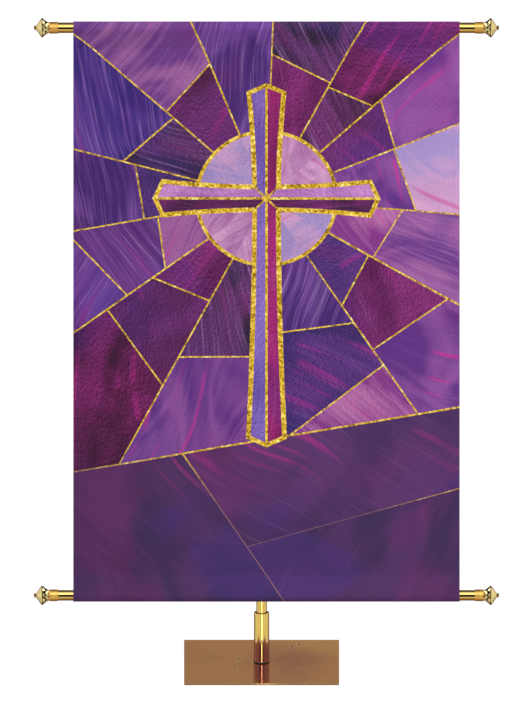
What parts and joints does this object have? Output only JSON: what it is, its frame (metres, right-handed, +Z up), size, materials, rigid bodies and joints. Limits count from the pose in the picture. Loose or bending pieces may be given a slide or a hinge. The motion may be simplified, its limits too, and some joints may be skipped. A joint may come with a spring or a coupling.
{
  "type": "church banner on a floor stand",
  "caption": "Printed cloth banner on brass rods with faceted finials, hung from a pole that stands in a collar on a flat square base.",
  "frame": {"origin": "middle of the underside: X at the middle of the rods, Y on the axis of the pole, Z on the surface that the base rests on", "axes": "+Z up along the pole, +Y from the face of the banner towards its back, X along the rods"},
  "size_m": [1.1008, 0.367, 1.5997],
  "materials": {
    "printed_cloth": "matt woven banner cloth, printed in purples with gold lines",
    "rod_brass": "polished",
    "ferrule_brass": "ribbed and knurled, satin",
    "finial_brass": "mirror polished facets",
    "pole_brass": "polished",
    "collar_brass": "polished",
    "hook_brass": "satin",
    "bushing_nylon": "black, moulded",
    "washer_rubber": "black",
    "plate_brass": "polished copper-brown brass plate with small pits"
  },
  "bodies": {
    "root": {"banner_cloth": "printed_cloth", "top_rod": "rod_brass", "bottom_rod": "rod_brass", "ferrule_top_left": "ferrule_brass", "ferrule_top_right": "ferrule_brass", "ferrule_bottom_left": "ferrule_brass", "ferrule_bottom_right": "ferrule_brass", "finial_top_left": "finial_brass", "finial_top_right": "finial_brass", "finial_bottom_left": "finial_brass", "finial_bottom_right": "finial_brass", "pole": "pole_brass", "rod_hook": "hook_brass", "pole_collar": "collar_brass", "collar_bushing": "bushing_nylon", "collar_washer": "washer_rubber", "base_plate": "plate_brass"}
  },
  "joints": []
}
